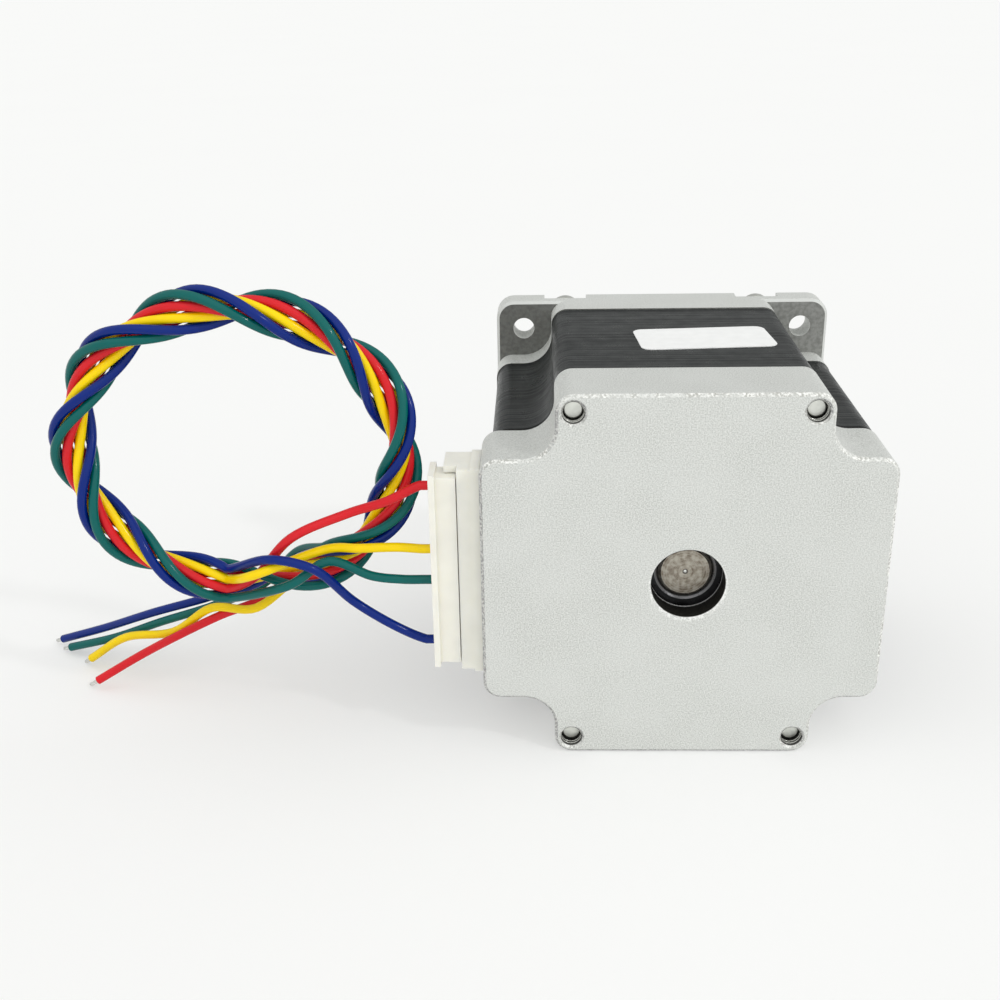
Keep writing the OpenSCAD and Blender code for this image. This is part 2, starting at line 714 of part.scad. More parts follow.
module shaft() {
    rear_end = rear_bearing_face - bearing_w;
    color("lightgray") difference() {
        union() {
            rod_y(shoulder_y, shoulder_y - rear_end - shaft_chamfer, shaft_d / 2);
            rod_y(shaft_out - shaft_chamfer, shaft_out - shaft_chamfer - shoulder_y, output_d / 2);
            translate([0, shaft_out, 0]) rotate([90, 0, 0])
                cylinder(h = shaft_chamfer, r1 = output_d / 2 - shaft_chamfer, r2 = output_d / 2);
            translate([0, rear_end + shaft_chamfer, 0]) rotate([90, 0, 0])
                cylinder(h = shaft_chamfer, r1 = shaft_d / 2, r2 = shaft_d / 2 - shaft_chamfer);
        }
        translate([0, rear_end - centre_hole_r, 0]) rotate([-90, 0, 0])
            cylinder(h = 2 * centre_hole_r, r1 = 2 * centre_hole_r, r2 = 0);
    }
}

function rotor_points(turn) =
    let (half = tooth_angle * tooth_share / 2)
    [for (k = [0 : rotor_teeth - 1]) let (a = turn + k * tooth_angle)
        each [polar(rotor_d / 2 - tooth_depth, a - half), polar(rotor_d / 2, a - half),
            polar(rotor_d / 2, a + half), polar(rotor_d / 2 - tooth_depth, a + half)]];

module rotor_cup(front, magnet_front, turn) {
    color("slategray") difference() {
        along_y(front, cup_len) polygon(rotor_points(turn));
        rod_y(front + cut, cup_len + 2 * cut, shaft_d / 2 + seat_gap);
        rod_y(magnet_front + seat_gap, magnet_t + 2 * seat_gap, magnet_d / 2 + seat_gap);
    }
}

magnet_front = stack_front - rotor_end_gap - cup_len + magnet_seat;

module front_rotor_cup() {
    rotor_cup(stack_front - rotor_end_gap, magnet_front, 0);
}

module rear_rotor_cup() {
    rotor_cup(stack_front - rotor_end_gap - cup_len - cup_gap, magnet_front, tooth_angle / 2);
}

module rotor_magnet() {
    color("darkslategray") ring_y(magnet_front, magnet_t, magnet_d / 2, shaft_d / 2 + seat_gap);
}

module plug_housing() {
    color("floralwhite") difference() {
        union() {
            connector_box(shroud_face, plug_seat, shroud_rear + shroud_wall + slide_gap, insert_depth,
                plug_h);
            connector_box(plug_face, cap_side - low_wall_out - slide_gap, shroud_rear, plug_depth, plug_h);
            connector_box(plug_face, plug_face + lip_t, shroud_rear - lip_out, plug_depth + 2 * lip_out,
                plug_h + 2 * lip_out);
        }
        for (i = [0 : pin_count - 1]) translate([0, connector_y, place_z(i)]) {
            translate([terminal_rear - terminal_gap, -cell_w / 2, -cell_w / 2])
                cube([plug_seat + cut - terminal_rear + terminal_gap, cell_w, cell_w]);
            translate([plug_face - cut, 0, 0]) rotate([0, 90, 0])
                cylinder(h = terminal_rear - plug_face + cut, d = wire_hole_d);
        }
    }
}

module crimp_terminals() {
    socket_w = pin_w + 2 * terminal_gap;
    color("silver") for (i = used_places) translate([terminal_rear, connector_y, place_z(i)]) difference() {
        translate([0, -terminal_w / 2, -terminal_w / 2])
            cube([plug_seat - terminal_rear - terminal_gap, terminal_w, terminal_w]);
        translate([pin_tip - terminal_rear - terminal_gap, -socket_w / 2, -socket_w / 2])
            cube([plug_seat - pin_tip + cut, socket_w, socket_w]);
    }
}

// A tube of wire_sides sides swept along the points of a path
module swept_tube(path, r) {
    m = len(path);
    points = [for (i = [0 : m - 1])
        let (t = path[min(i + 1, m - 1)] - path[max(i - 1, 0)])
        let (side = cross(t, [0, 1, 0]))
        let (u = side / norm(side))
        let (across = cross(u, t))
        let (v = across / norm(across))
        for (k = [0 : wire_sides - 1])
            let (a = k * 360 / wire_sides) path[i] + r * (cos(a) * u + sin(a) * v)];
    sides = [for (i = [0 : m - 2]) for (k = [0 : wire_sides - 1])
        let (a = i * wire_sides + k)
        let (b = i * wire_sides + (k + 1) % wire_sides)
        each [[a, b, b + wire_sides], [a, b + wire_sides, a + wire_sides]]];
    first = [for (k = [1 : wire_sides - 2]) [0, k + 1, k]];
    last_ring = (m - 1) * wire_sides;
    last = [for (k = [1 : wire_sides - 2]) [last_ring, last_ring + k, last_ring + k + 1]];
    polyhedron(points = points, faces = concat(sides, first, last));
}

module wire_red() {
    color("crimson") swept_tube(red_path, wire_d / 2);
}

module wire_yellow() {
    color("gold") swept_tube(yellow_path, wire_d / 2);
}

module wire_green() {
    color("teal") swept_tube(green_path, wire_d / 2);
}

module wire_blue() {
    color("mediumblue") swept_tube(blue_path, wire_d / 2);
}

// Bare conductor standing out of the end of each lead
module stripped_ends() {
    color("silver") for (path = [red_path, yellow_path, green_path, blue_path]) {
        m = len(path);
        step = path[m - 1] - path[m - 2];
        along = step / norm(step);
        translate(path[m - 1] + seat_gap * along)
            rotate([0, acos(along[2]), atan2(along[1], along[0])]) cylinder(h = strip_len, d = conductor_d);
    }
}

front_flange();
rear_cap();
stator_core();
front_bobbin();
rear_bobbin();
stator_coils();
connection_board();
header_housing();
header_pins();
front_bearing_outer();
rear_bearing_outer();
front_bearing_shields();
rear_bearing_shields();
wave_washer();
through_screws();
rating_label();
shaft();
front_rotor_cup();
rear_rotor_cup();
rotor_magnet();
front_bearing_inner();
rear_bearing_inner();
front_bearing_balls();
front_bearing_cage();
rear_bearing_balls();
rear_bearing_cage();
plug_housing();
crimp_terminals();
wire_red();
wire_yellow();
wire_green();
wire_blue();
stripped_ends();
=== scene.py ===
# %% [markdown]
# # A stepping motor and its leads, dressed for a photograph
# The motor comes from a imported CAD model: thirty-three pieces that already have their true
# sizes. This lesson gives each of them a finish made of nodes, draws the four leads as real
# curves, and sets up the table, the light and the camera. Everything is in metres, and the
# shaft points along +Y, away from the camera.

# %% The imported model
import math

import bpy
from mathutils import Matrix, Vector


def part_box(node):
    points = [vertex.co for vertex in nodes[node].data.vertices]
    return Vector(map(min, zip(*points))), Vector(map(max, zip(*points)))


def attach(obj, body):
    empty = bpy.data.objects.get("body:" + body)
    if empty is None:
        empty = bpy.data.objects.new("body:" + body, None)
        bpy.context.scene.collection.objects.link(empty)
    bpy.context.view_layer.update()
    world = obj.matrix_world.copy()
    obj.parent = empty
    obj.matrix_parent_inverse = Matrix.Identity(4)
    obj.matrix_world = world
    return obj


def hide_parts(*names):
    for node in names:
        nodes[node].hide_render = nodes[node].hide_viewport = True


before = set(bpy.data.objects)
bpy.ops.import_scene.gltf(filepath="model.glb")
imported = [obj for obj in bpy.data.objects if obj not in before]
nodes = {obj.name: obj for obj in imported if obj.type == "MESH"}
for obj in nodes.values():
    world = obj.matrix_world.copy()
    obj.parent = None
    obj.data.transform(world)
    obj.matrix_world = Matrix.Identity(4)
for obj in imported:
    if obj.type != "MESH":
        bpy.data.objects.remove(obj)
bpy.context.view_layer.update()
MM = 0.001


def edge(node, side, axis):
    """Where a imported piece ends, in millimetres: side 0 is its low end and 1 its high end."""
    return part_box(node)[side][axis] / MM


# %% [markdown]
# The camera stands where the photographer stood: behind the motor, a little to its left, and
# looking down on it. Aiming a camera with a Track To constraint would do for a level horizon,
# but the picture is turned a little, so the three directions of the camera are worked out from
# its yaw, pitch and roll and put into its matrix.

# %% The camera
EYE = Vector((-20.957, -218.461, 81.381)) * MM
YAW, PITCH, ROLL = -0.034, 0.398, 0.018
FOCAL_PIXELS = 1273.643
PICTURE = 1000
SENSOR = 36
NEAREST = 0.005

across = Vector((math.cos(YAW), -math.sin(YAW), 0))
level = Vector((math.sin(YAW), math.cos(YAW), 0))
up = Vector((0, 0, 1))
forward = level * math.cos(PITCH) - up * math.sin(PITCH)
down = -(up * math.cos(PITCH) + level * math.sin(PITCH))
right = across * math.cos(ROLL) + down * math.sin(ROLL)
below = down * math.cos(ROLL) - across * math.sin(ROLL)

camera_data = bpy.data.cameras.new("camera")
camera_data.sensor_width = SENSOR
camera_data.lens = FOCAL_PIXELS * SENSOR / PICTURE
camera_data.clip_start = NEAREST
camera = bpy.data.objects.new("camera", camera_data)
turned = Matrix((right, -below, -forward)).transposed().to_4x4()
camera.matrix_world = Matrix.Translation(EYE) @ turned
bpy.context.scene.collection.objects.link(camera)
bpy.context.scene.camera = camera
print("lens:", round(camera_data.lens, 2), "mm")

# %% [markdown]
# The four leads leave the plug, run to the left, and go twice round a ring, twisted together
# like a rope, before their ends fan out on the table. A NURBS curve would pull away from its
# control points. The route has to stay exactly where the CAD model holds it, so it is sampled:
# a formula for the ring, and a Catmull-Rom curve, which passes through every point, for the rest.

# %% Where the leads run
LEAD_D = 1.4
TERMINAL_X, PLUG_X, PLUG_Y = -35, -36.7, -49.9
PLACE_TOP, PLACE_PITCH = 12.8, 5
RING_AT = Vector((-65.1, -45.6, 16.7))
RING_RX, RING_RZ = 24, 21.4
STRAND_GAP, LAYER_GAP = 1.68, 1.86
STRAND_TURNS = 4.5
RING_FIRST, RING_LAST, RING_STEP = 8, 688, 8.5
FINER = 4
CURVE_STEPS = 8

LEADS = {
    "red": dict(
        place=0, strand=0.5,
        lead=[(-43, -50, 10.4), (-49.2, -49.1, 8), (-57.2, -50.9, 5), (-63.3, -48.9, -2.1)],
        tail=[(-58.3, -40.2, -3.8), (-64.4, -37.8, -11), (-72.5, -37.9, -14.5),
              (-79.6, -38.1, -18), (-86.8, -37, -22.4), (-94.2, -37.5, -26.8)]),
    "yellow": dict(
        place=2, strand=-0.5,
        lead=[(-41.9, -50, 3.1), (-47.3, -49.9, 2.9), (-52.9, -48.9, 2.2), (-62.8, -52.2, -0.3)],
        tail=[(-57.7, -41.1, -5.1), (-65.7, -40.8, -11.6), (-73.8, -37.8, -13.2),
              (-81.2, -35.7, -18.7), (-90.3, -32.6, -21.4), (-97.7, -30.2, -26.8)]),
    "green": dict(
        place=3, strand=1.5,
        lead=[(-41.5, -50, -2.1), (-46, -49.6, -1.7), (-52.1, -50.1, 0.9), (-58, -52.2, -2.1)],
        tail=[(-58.9, -39.4, -2.5), (-65, -37.2, -9.1), (-73.7, -35.6, -13.8),
              (-84, -32.3, -18.6), (-93.3, -29.1, -23.3), (-102.7, -26, -27)]),
    "blue": dict(
        place=5, strand=-1.5,
        lead=[(-43, -50.4, -9.5), (-48.8, -50, -5.7), (-53.6, -52.7, 0.7), (-60.4, -52, 2.1)],
        tail=[(-60.1, -42.5, -6), (-65.3, -38.1, -7.4), (-74.1, -34.6, -12.6),
              (-85.5, -31.3, -17.4), (-95.6, -26.9, -22.6), (-105, -23.2, -26.9)]),
}


def ring_point(strand, degrees):
    """The point at an angle round the ring, on the strand that starts at that place."""
    turn = math.radians(STRAND_TURNS * (degrees - RING_FIRST))
    s, c = math.sin(math.radians(degrees)), math.cos(math.radians(degrees))
    outward = Vector((-s / RING_RX, 0, -c / RING_RZ)).normalized()
    towards_camera = Vector((0, -1, 0))
    p, q = STRAND_GAP * strand, LAYER_GAP / 2
    return (RING_AT + Vector((-RING_RX * s, 0, -RING_RZ * c))
            + (p * math.cos(turn) - q * math.sin(turn)) * outward
            + (p * math.sin(turn) + q * math.cos(turn)) * towards_camera)


def smooth(points, steps=CURVE_STEPS):
    """Catmull-Rom curve through the points; the first and the last only steer it."""
    route = []
    for a, b, c, d in zip(points, points[1:], points[2:], points[3:]):
        for k in range(steps):
            u = k / steps
            route.append(0.5 * (2 * b + (c - a) * u + (2 * a - 5 * b + 4 * c - d) * u * u
                                + (3 * b - a - 3 * c + d) * u * u * u))
    return route


def lead_route(place, strand, lead, tail):
    """From the contact in the plug, along the lead, round the ring and down the tail."""
    z = PLACE_TOP - PLACE_PITCH * place
    start = [Vector((TERMINAL_X, PLUG_Y, z)), Vector((PLUG_X - LEAD_D, PLUG_Y, z))]
    lead, tail = [Vector(p) for p in lead], [Vector(p) for p in tail]
    steps = round((RING_LAST - RING_FIRST) / RING_STEP)
    steer = [ring_point(strand, RING_FIRST + RING_STEP * k) for k in (0, 1, steps - 1, steps)]
    loops = [ring_point(strand, RING_FIRST + RING_STEP * k / FINER)
             for k in range(steps * FINER + 1)]
    past = 2 * tail[-1] - tail[-2]
    return ([start[0]] + smooth(start + lead + steer[:2]) + loops
            + smooth(steer[2:] + tail + [past])[1:] + [tail[-1]])


def length_of(route):
    return sum((b - a).length for a, b in zip(route, route[1:]))


routes = {}
for colour, way in LEADS.items():
    routes[colour] = [point * MM for point in lead_route(**way)]
    print(colour, "lead:", len(routes[colour]), "points,",
          round(length_of(routes[colour]) / MM, 1), "mm")

# %% [markdown]
# Each route becomes a curve object with a round bevel. A mesh tube would look the same, but a
# curve keeps the route and the thickness apart, so either can be changed later on its own. The
# thickness is given at the points, with a bevel of 1, because the size of a curve object is
# measured from the radius of its points alone.

# %% Drawing the leads
ROUND_STEPS = 5


def lead_curve(colour, route):
    """A round tube along the route, whose thickness is that of the lead."""
    data = bpy.data.curves.new("lead_" + colour, "CURVE")
    data.dimensions = "3D"
    data.bevel_depth = 1
    data.bevel_resolution = ROUND_STEPS
    data.use_fill_caps = True
    line = data.splines.new("POLY")
    line.points.add(len(route) - 1)
    for point, place in zip(line.points, route):
        point.co = (*place, 1)
        point.radius = LEAD_D / 2 * MM
    line.use_smooth = True
    lead = bpy.data.objects.new("lead_" + colour, data)
    bpy.context.scene.collection.objects.link(lead)
    return lead


leads = {colour: lead_curve(colour, route) for colour, route in routes.items()}
print("leads drawn:", ", ".join(sorted(leads)))

# %% [markdown]
# At the free end of each lead the insulation is stripped, and seven tinned strands, twisted
# together, stand out of it. One bare cylinder would look like solid wire. Seven thin tubes, six
# of them winding about the middle one, are cheap and show the rope-like surface up close.

# %% The stripped ends
STRANDS, STRAND_D, STRAND_PITCH = 7, 0.23, 3.2
STRIP_LEN, STRIP_STEPS, END_GAP = 1.5, 8, 0.02
TUBE_SIDES = 8


def frame_along(direction):
    """Two directions square to a direction and to each other."""
    side = direction.cross(Vector((0, 1, 0))).normalized()
    return side, direction.cross(side).normalized()


def tube_mesh(name, lines, radius):
    """One mesh with a round closed tube along each of the lines."""
    sides = TUBE_SIDES
    points, faces = [], []
    for line in lines:
        first = len(points)
        for i, place in enumerate(line):
            heading = (line[min(i + 1, len(line) - 1)] - line[max(i - 1, 0)]).normalized()
            u, v = frame_along(heading)
            for k in range(sides):
                angle = math.tau * k / sides
                points.append(place + radius * (math.cos(angle) * u + math.sin(angle) * v))
        for i in range(len(line) - 1):
            for k in range(sides):
                a, b = first + i * sides + k, first + i * sides + (k + 1) % sides
                faces.append((a, a + sides, b + sides, b))
        last = len(points) - sides
        faces.append(tuple(range(first, first + sides)))
        faces.append(tuple(range(len(points) - 1, last - 1, -1)))
    mesh = bpy.data.meshes.new(name)
    mesh.from_pydata(points, [], faces)
    for polygon in mesh.polygons:
        polygon.use_smooth = len(polygon.vertices) == 4
    made = bpy.data.objects.new(name, mesh)
    bpy.context.scene.collection.objects.link(made)
    return made


def stripped_end(colour, route):
    """A middle strand with the others winding about it, just beyond the insulation."""
    heading = (route[-1] - route[-2]).normalized()
    u, v = frame_along(heading)
    start = route[-1] + END_GAP * MM * heading
    lines = []
    for strand in range(STRANDS):
        reach = STRAND_D * MM if strand else 0
        line = []
        for k in range(STRIP_STEPS + 1):
            far = STRIP_LEN * MM * k / STRIP_STEPS
            angle = math.tau * (strand / (STRANDS - 1) + far / (STRAND_PITCH * MM))
            outward = math.cos(angle) * u + math.sin(angle) * v
            line.append(start + far * heading + reach * outward)
        lines.append(line)
    return tube_mesh("conductor_" + colour, lines, STRAND_D / 2 * MM)


conductors = {colour: stripped_end(colour, route) for colour, route in routes.items()}
print("strands at each end:", STRANDS, "of", STRAND_D, "mm")

# %% [markdown]
# Each lead and its stripped end hang from the plug's body, and the CAD model's own wires and
# stripped ends are hidden.

# %% Hanging the leads on the plug
for colour, route in routes.items():
    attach(leads[colour], "plug")
    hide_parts("wire_" + colour)
    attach(conductors[colour], "plug")
    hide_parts("stripped_ends")
print("cords declared:", len(routes))

# %% [markdown]
# ## Finishes
# Every finish starts as one shader with its plain values on the shader's own sockets. Small
# helpers then add what makes it look real: a noise that is measured in millimetres, a blend of two
# colours, a change of roughness, and relief. The value of a noise seldom leaves the range from
# 0.3 to 0.7, so that range is stretched to run from 0 to 1. A narrower one gives harder blotches.
# The plain values are about the average of what the nodes give, for programs that read no nodes.

# %% Helpers for finishes
NOISE_LOW, NOISE_HIGH = 0.3, 0.7


def finish(name, colour, roughness, metallic=0.0, **sockets):
    """A material with plain values; further sockets are named with underscores for spaces."""
    material = bpy.data.materials.new(name)
    material.use_nodes = True
    shader = material.node_tree.nodes["Principled BSDF"]
    shader.inputs["Base Color"].default_value = (*colour, 1)
    shader.inputs["Roughness"].default_value = roughness
    shader.inputs["Metallic"].default_value = metallic
    for socket, value in sockets.items():
        shader.inputs[socket.replace("_", " ")].default_value = value
    return material


def shader_of(material):
    return material.node_tree.nodes["Principled BSDF"]


def shade(colour, factor):
    return [factor * channel for channel in colour]


def place_on(material, stretch=(1, 1, 1)):
    """The piece's own coordinates in millimetres, stretched by three factors."""
    tree = material.node_tree
    where = tree.nodes.new("ShaderNodeTexCoord")
    scaled = tree.nodes.new("ShaderNodeMapping")
    scaled.inputs["Scale"].default_value = [factor / MM for factor in stretch]
    tree.links.new(where.outputs["Object"], scaled.inputs["Vector"])
    return scaled.outputs["Vector"]


def grain(material, size, detail=2.0, stretch=(1, 1, 1), rough=0.5):
    """Soft noise whose blotches are about size millimetres wide."""
    tree = material.node_tree
    texture = tree.nodes.new("ShaderNodeTexNoise")
    texture.inputs["Scale"].default_value = 1 / size
    texture.inputs["Detail"].default_value = detail
    texture.inputs["Roughness"].default_value = rough
    tree.links.new(place_on(material, stretch), texture.inputs["Vector"])
    return texture.outputs["Fac"]


def remap(material, value, low=NOISE_LOW, high=NOISE_HIGH, to_low=0.0, to_high=1.0):
    """Stretches a value from one range to another, and holds it there."""
    node = material.node_tree.nodes.new("ShaderNodeMapRange")
    limits = {"From Min": low, "From Max": high, "To Min": to_low, "To Max": to_high}
    for socket, number in limits.items():
        node.inputs[socket].default_value = number
    material.node_tree.links.new(value, node.inputs["Value"])
    return node.outputs["Result"]


def blend(material, mask, first, second):
    """The base colour: first where the mask is 0, second where it is 1, as colours or links."""
    tree = material.node_tree
    mix = tree.nodes.new("ShaderNodeMix")
    mix.data_type = "RGBA"
    tree.links.new(mask, mix.inputs[0])
    for slot, value in ((6, first), (7, second)):
        if isinstance(value, bpy.types.NodeSocket):
            tree.links.new(value, mix.inputs[slot])
        else:
            mix.inputs[slot].default_value = (*value, 1)
    tree.links.new(mix.outputs[2], shader_of(material).inputs["Base Color"])
    return mix.outputs[2]


def gloss(material, value, low, high):
    """Lets a noise vary the roughness between two values."""
    roughness = remap(material, value, to_low=low, to_high=high)
    material.node_tree.links.new(roughness, shader_of(material).inputs["Roughness"])


def relief(material, value, depth_mm, strength=1.0):
    """Raises the surface where the value is high, for the light alone."""
    tree = material.node_tree
    bump = tree.nodes.new("ShaderNodeBump")
    bump.inputs["Strength"].default_value = strength
    bump.inputs["Distance"].default_value = depth_mm * MM
    tree.links.new(value, bump.inputs["Height"])
    tree.links.new(bump.outputs["Normal"], shader_of(material).inputs["Normal"])


print("helpers ready")

# %% [markdown]
# Some finishes change with the place on the piece. A mask painted by hand would need an unwrapped
# mesh and a picture. Here arithmetic on the coordinates and on the direction of the surface finds
# the place: so far from the shaft's axis, so far from a screw, or turned towards the window. The
# same steps of arithmetic serve the world later, so they take any owner of a node tree.

# %% Helpers that find a place
SHAFT_AXIS = (0, 1, 0)
WINDOW_FROM = Vector((0.66, -0.42, 0.62)).normalized()
SCREW_X, SCREW_Z = 16.4, 25.6


def step(owner, operation, value, *others):
    """One step of arithmetic on a number; the others are numbers or links."""
    tree = owner.node_tree
    node = tree.nodes.new("ShaderNodeMath")
    node.operation = operation
    tree.links.new(value, node.inputs[0])
    for socket, other in zip(node.inputs[1:], others):
        if isinstance(other, bpy.types.NodeSocket):
            tree.links.new(other, socket)
        else:
            socket.default_value = other
    return node.outputs[0]


def vector_step(owner, operation, value, *others):
    """One step of arithmetic on a place or a direction; the others are plain vectors."""
    tree = owner.node_tree
    node = tree.nodes.new("ShaderNodeVectorMath")
    node.operation = operation
    tree.links.new(value, node.inputs[0])
    for socket, other in zip(node.inputs[1:], others):
        socket.default_value = other
    return node.outputs["Value" if operation in ("LENGTH", "DOT_PRODUCT") else "Vector"]


def along(material, axis, stretch=(1, 1, 1)):
    """One coordinate of the place on the piece, in millimetres before it is stretched."""
    split = material.node_tree.nodes.new("ShaderNodeSeparateXYZ")
    material.node_tree.links.new(place_on(material, stretch), split.inputs["Vector"])
    return split.outputs[axis]


def distance_from(material, value, centre):
    return step(material, "ABSOLUTE", step(material, "SUBTRACT", value, centre))


def facing(material, direction):
    """How far the surface faces in a direction, from -1 to 1."""
    where = material.node_tree.nodes.new("ShaderNodeTexCoord")
    return vector_step(material, "DOT_PRODUCT", where.outputs["Normal"], direction)


def axis_radius(material, lift=0.0):
    """The distance in millimetres from the shaft's axis, or from a line some way above it."""
    flat = vector_step(material, "MULTIPLY_ADD", place_on(material), (1, 0, 1), (0, 0, -lift))
    return vector_step(material, "LENGTH", flat)


def screw_radius(material):
    """The distance from the nearest of the four screw axes, in millimetres."""
    quarter = vector_step(material, "ABSOLUTE", place_on(material))
    shifted = vector_step(material, "SUBTRACT", quarter, (SCREW_X, 0, SCREW_Z))
    flat = vector_step(material, "MULTIPLY", shifted, (1, 0, 1))
    return vector_step(material, "LENGTH", flat)


print("window from:", [round(c, 2) for c in WINDOW_FROM])

# %% [markdown]
# The end castings are die-cast aluminium, blasted with fine beads. That leaves a light grey skin
# without reflections. Fine noise gives it its grain, slow blotches stop the large faces from
# looking printed, and here and there is a dark pit.

# %% The skin of a casting
CAST_DARK, CAST_LIGHT, CAST_PALE = (0.50, 0.51, 0.485), (0.74, 0.75, 0.725), (0.71, 0.72, 0.70)
CAST_GREY, PIT_GREY = (0.64, 0.65, 0.625), (0.24, 0.24, 0.23)
CHAMFER_FACES = -0.707


def cast_skin(name):
    """A casting's material, the colour of its skin, and a mask that is 1 on its rear chamfer."""
    cast = finish(name, CAST_GREY, 0.5, metallic=0.25)
    craters = grain(cast, 0.2, detail=3.0)
    skin = blend(cast, remap(cast, craters, 0.36, 0.64), CAST_DARK, CAST_LIGHT)
    blotches = remap(cast, grain(cast, 9.0, detail=3.0), 0.35, 0.65, 0, 0.3)
    skin = blend(cast, blotches, skin, CAST_PALE)
    pits = remap(cast, grain(cast, 0.4, detail=4.0, rough=0.7), 0.62, 0.72, 0, 0.5)
    skin = blend(cast, pits, skin, PIT_GREY)
    gloss(cast, grain(cast, 0.6), 0.42, 0.6)
    relief(cast, craters, 0.05, 0.7)
    slope = distance_from(cast, facing(cast, SHAFT_AXIS), CHAMFER_FACES)
    return cast, skin, remap(cast, slope, 0.12, 0.24, 1, 0)


print("skin: grains of 0.2 mm, blotches of 9 mm")

# %% [markdown]
# The rear cap has four places of its own. Its chamfer was trimmed after casting. Where it faces the
# window it carries painted glints, bright specks in its colour, and where it doesn't, painted
# shade. A painted highlight lies on the edge of the bore along its lower side. The walls of the
# screw holes are painted dark for the shade in them, and the bore is painted black for its shade,
# but for a thin painted highlight on the lip at its inner end.

# %% The rear cap
BORE_R, BORE_LIP_Y, BORE_LIP = 5.25, -52.8, 0.15
# Centre of the painted highlight round the bore's lower edge, below the axis.
HIGHLIGHT_LIFT = -0.35
THREAD_WALL = 1.58
# Painted glints on the chamfer where it faces the window, and painted shade on it where it doesn't.
GLINT_DARK, GLINT_LIGHT = (0.44, 0.44, 0.41), (0.88, 0.88, 0.85)
CHAMFER_SHADE_DARK, CHAMFER_SHADE_LIGHT = (0.32, 0.32, 0.32), (0.66, 0.66, 0.64)
# Painted highlights: round the bore's lower edge, and on the lip inside the bore.
BORE_EDGE_HIGHLIGHT, LIP_HIGHLIGHT_GREY = (0.86, 0.86, 0.84), (0.5, 0.5, 0.5)
# Painted shade: on the walls of the screw holes, and black in the bore.
HOLE_SHADE_BLACK, BORE_SHADE_BLACK = (0.05, 0.05, 0.045), (0.003, 0.003, 0.002)


def make_cap():
    cast, skin, chamfer = cast_skin("cast_cap")
    specks = remap(cast, grain(cast, 0.34, detail=3.0), 0.42, 0.6)
    patches = remap(cast, grain(cast, 1.8), 0.42, 0.58, 0.3, 1.0)
    # The chamfer gets painted glints where it faces the window and painted shade where it doesn't.
    bright = blend(cast, patches, skin, blend(cast, specks, GLINT_DARK, GLINT_LIGHT))
    chamfer_shade = blend(cast, specks, CHAMFER_SHADE_DARK, CHAMFER_SHADE_LIGHT)
    lit = remap(cast, facing(cast, WINDOW_FROM), -0.15, 0.3)
    skin = blend(cast, chamfer, skin, blend(cast, lit, chamfer_shade, bright))
    # A painted highlight round the lower side of the bore's edge.
    beyond_highlight = remap(cast, axis_radius(cast, HIGHLIGHT_LIFT), BORE_R + 0.2, BORE_R + 0.5)
    skin = blend(cast, beyond_highlight, blend(cast, specks, skin, BORE_EDGE_HIGHLIGHT), skin)
    # The walls of the screw holes are painted dark for their shade.
    on_hole_wall = remap(cast, screw_radius(cast), THREAD_WALL, THREAD_WALL + 0.06, 1, 0)
    skin = blend(cast, on_hole_wall, skin, HOLE_SHADE_BLACK)
    # The bore is painted black for its shade, but for a thin painted highlight on the lip at its
    # inner end.
    lip_away = distance_from(cast, along(cast, "Y"), BORE_LIP_Y)
    lip = remap(cast, lip_away, BORE_LIP, BORE_LIP + 0.04, 1, 0)
    bore = remap(cast, axis_radius(cast), BORE_R + 0.03, BORE_R + 0.1, 1, 0)
    blend(cast, bore, skin, blend(cast, lip, BORE_SHADE_BLACK, LIP_HIGHLIGHT_GREY))
    return cast


nodes["rear_cap"].data.materials[0] = make_cap()
print("cap done, bore of", 2 * BORE_R, "mm")

# %% [markdown]
# The backs of the flange's ears are smoother than the skin and painted darker, the left one most:
# painted shade and a painted reflection of a dark room. They could be true mirrors, but then a dark
# room would have to be built round them. Instead a blend across the flange paints each ear its own
# grey, and dark blotches break it up.

# %% The front flange
# Painted shade and reflection on the ear backs, darker on the left, with darker blotches.
EAR_SHADE_LEFT, EAR_SHADE_RIGHT = (0.16, 0.163, 0.152), (0.285, 0.288, 0.273)
EAR_X = 24
BLOTCH_GREY, CHAMFER_GREY = (0.06, 0.06, 0.055), (0.6, 0.61, 0.59)


def make_flange():
    cast, skin, chamfer = cast_skin("cast_flange")
    # Painted shade across the ear backs, from the dark left ear to the lighter right one.
    ear_shade = blend(cast, remap(cast, along(cast, "X"), -EAR_X, EAR_X), EAR_SHADE_LEFT, EAR_SHADE_RIGHT)
    ear_blotches = remap(cast, grain(cast, 0.7, detail=4.0), 0.4, 0.65, 0, 0.4)
    ear_shade = blend(cast, ear_blotches, ear_shade, BLOTCH_GREY)
    skin = blend(cast, chamfer, skin, CHAMFER_GREY)
    back = remap(cast, facing(cast, SHAFT_AXIS), -0.9, -0.8, 1, 0)
    blend(cast, back, skin, ear_shade)
    return cast


nodes["front_flange"].data.materials[0] = make_flange()
print("flange done")

# %% [markdown]
# The laminations are thin sheets of steel, stacked along the shaft and enamelled black. Their edges
# never line up perfectly, so each sheet catches the light in its own way. Wave bands would repeat
# too evenly. White noise on the number of the sheet gives every sheet its own shade, height and
# gloss. Between two sheets runs a dull black seam, and the last sheets, next to the cap, are
# painted black for the shadow at the cap's edge.

# %% Black laminations
SHEET_T, SEAM_SHARE = 0.5, 0.3
